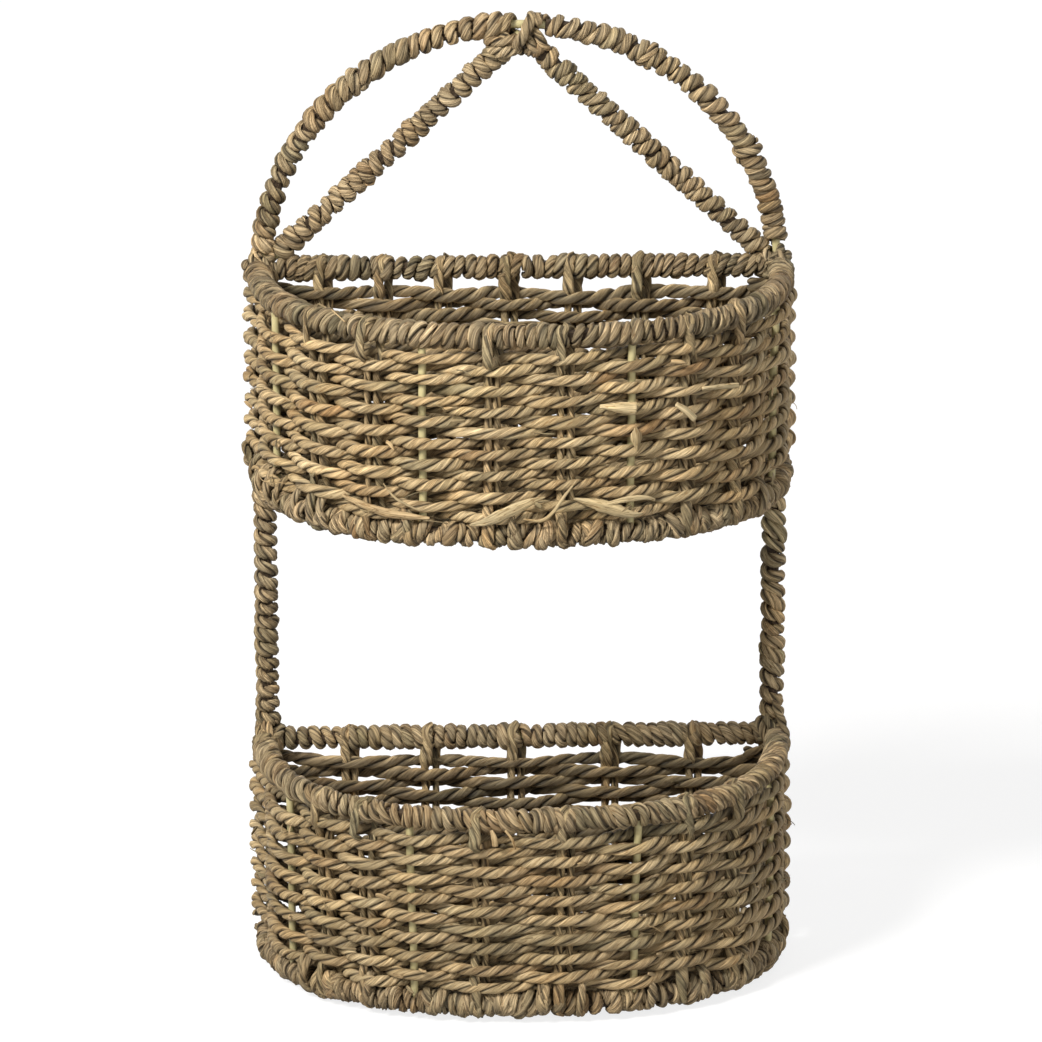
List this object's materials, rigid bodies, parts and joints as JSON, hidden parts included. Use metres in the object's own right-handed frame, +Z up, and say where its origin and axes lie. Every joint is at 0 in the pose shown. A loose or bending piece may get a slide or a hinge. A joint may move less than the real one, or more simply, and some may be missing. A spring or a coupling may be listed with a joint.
{
  "type": "wall basket",
  "caption": "Two-tier half-moon seagrass wall basket on a whipped wire frame with an arched hanger and brace.",
  "frame": {"origin": "on the surface the basket can stand on, under the middle of its overall box", "axes": "+X along the back bar to the right as seen from the room, +Y towards the wall, +Z up"},
  "size_m": [0.2958, 0.1608, 0.5135],
  "materials": {
    "painted_wire": "pale khaki paint, satin",
    "seagrass_whipping": "two-ply twisted seagrass cord, wound close",
    "seagrass_weave": "two-ply twisted seagrass cord, woven",
    "seagrass_stakes": "two-ply twisted seagrass cord, doubled",
    "seagrass_lashing": "seagrass cord, knotted",
    "seagrass_floor": "two-ply twisted seagrass cord, woven flat"
  },
  "bodies": {
    "root": {"hanger_wire": "painted_wire", "brace_wire": "painted_wire", "upper_upright_wire_1": "painted_wire", "upper_upright_wire_2": "painted_wire", "upper_upright_wire_3": "painted_wire", "upper_upright_wire_4": "painted_wire", "upper_rim_wire": "painted_wire", "upper_rim_wrap": "seagrass_whipping", "upper_base_wire": "painted_wire", "upper_base_wrap": "seagrass_whipping", "upper_front_stake_1": "seagrass_stakes", "upper_front_stake_2": "seagrass_stakes", "upper_front_stake_3": "seagrass_stakes", "upper_front_stake_4": "seagrass_stakes", "upper_front_stake_5": "seagrass_stakes", "upper_front_stake_6": "seagrass_stakes", "upper_back_stake_1": "seagrass_stakes", "upper_back_stake_2": "seagrass_stakes", "upper_back_stake_3": "seagrass_stakes", "upper_back_stake_4": "seagrass_stakes", "upper_back_stake_5": "seagrass_stakes", "upper_back_stake_6": "seagrass_stakes", "upper_back_stake_7": "seagrass_stakes", "upper_weaver": "seagrass_weave", "upper_floor": "seagrass_floor", "lower_upright_wire_1": "painted_wire", "lower_upright_wire_2": "painted_wire", "lower_upright_wire_3": "painted_wire", "lower_upright_wire_4": "painted_wire", "lower_rim_wire": "painted_wire", "lower_rim_wrap": "seagrass_whipping", "lower_base_wire": "painted_wire", "lower_base_wrap": "seagrass_whipping", "lower_front_stake_1": "seagrass_stakes", "lower_front_stake_2": "seagrass_stakes", "lower_front_stake_3": "seagrass_stakes", "lower_front_stake_4": "seagrass_stakes", "lower_front_stake_5": "seagrass_stakes", "lower_front_stake_6": "seagrass_stakes", "lower_back_stake_1": "seagrass_stakes", "lower_back_stake_2": "seagrass_stakes", "lower_back_stake_3": "seagrass_stakes", "lower_back_stake_4": "seagrass_stakes", "lower_back_stake_5": "seagrass_stakes", "lower_weaver": "seagrass_weave", "lower_floor": "seagrass_floor", "arch_wrap": "seagrass_whipping", "left_brace_wrap": "seagrass_whipping", "right_brace_wrap": "seagrass_whipping", "left_post_winding": "seagrass_whipping", "right_post_winding": "seagrass_whipping", "left_shoulder_lashing": "seagrass_lashing", "left_upper_base_lashing": "seagrass_lashing", "left_lower_rim_lashing": "seagrass_lashing", "left_lower_base_lashing": "seagrass_lashing", "right_shoulder_lashing": "seagrass_lashing", "right_upper_base_lashing": "seagrass_lashing", "right_lower_rim_lashing": "seagrass_lashing", "right_lower_base_lashing": "seagrass_lashing", "crown_lashing": "seagrass_lashing"}
  },
  "joints": []
}
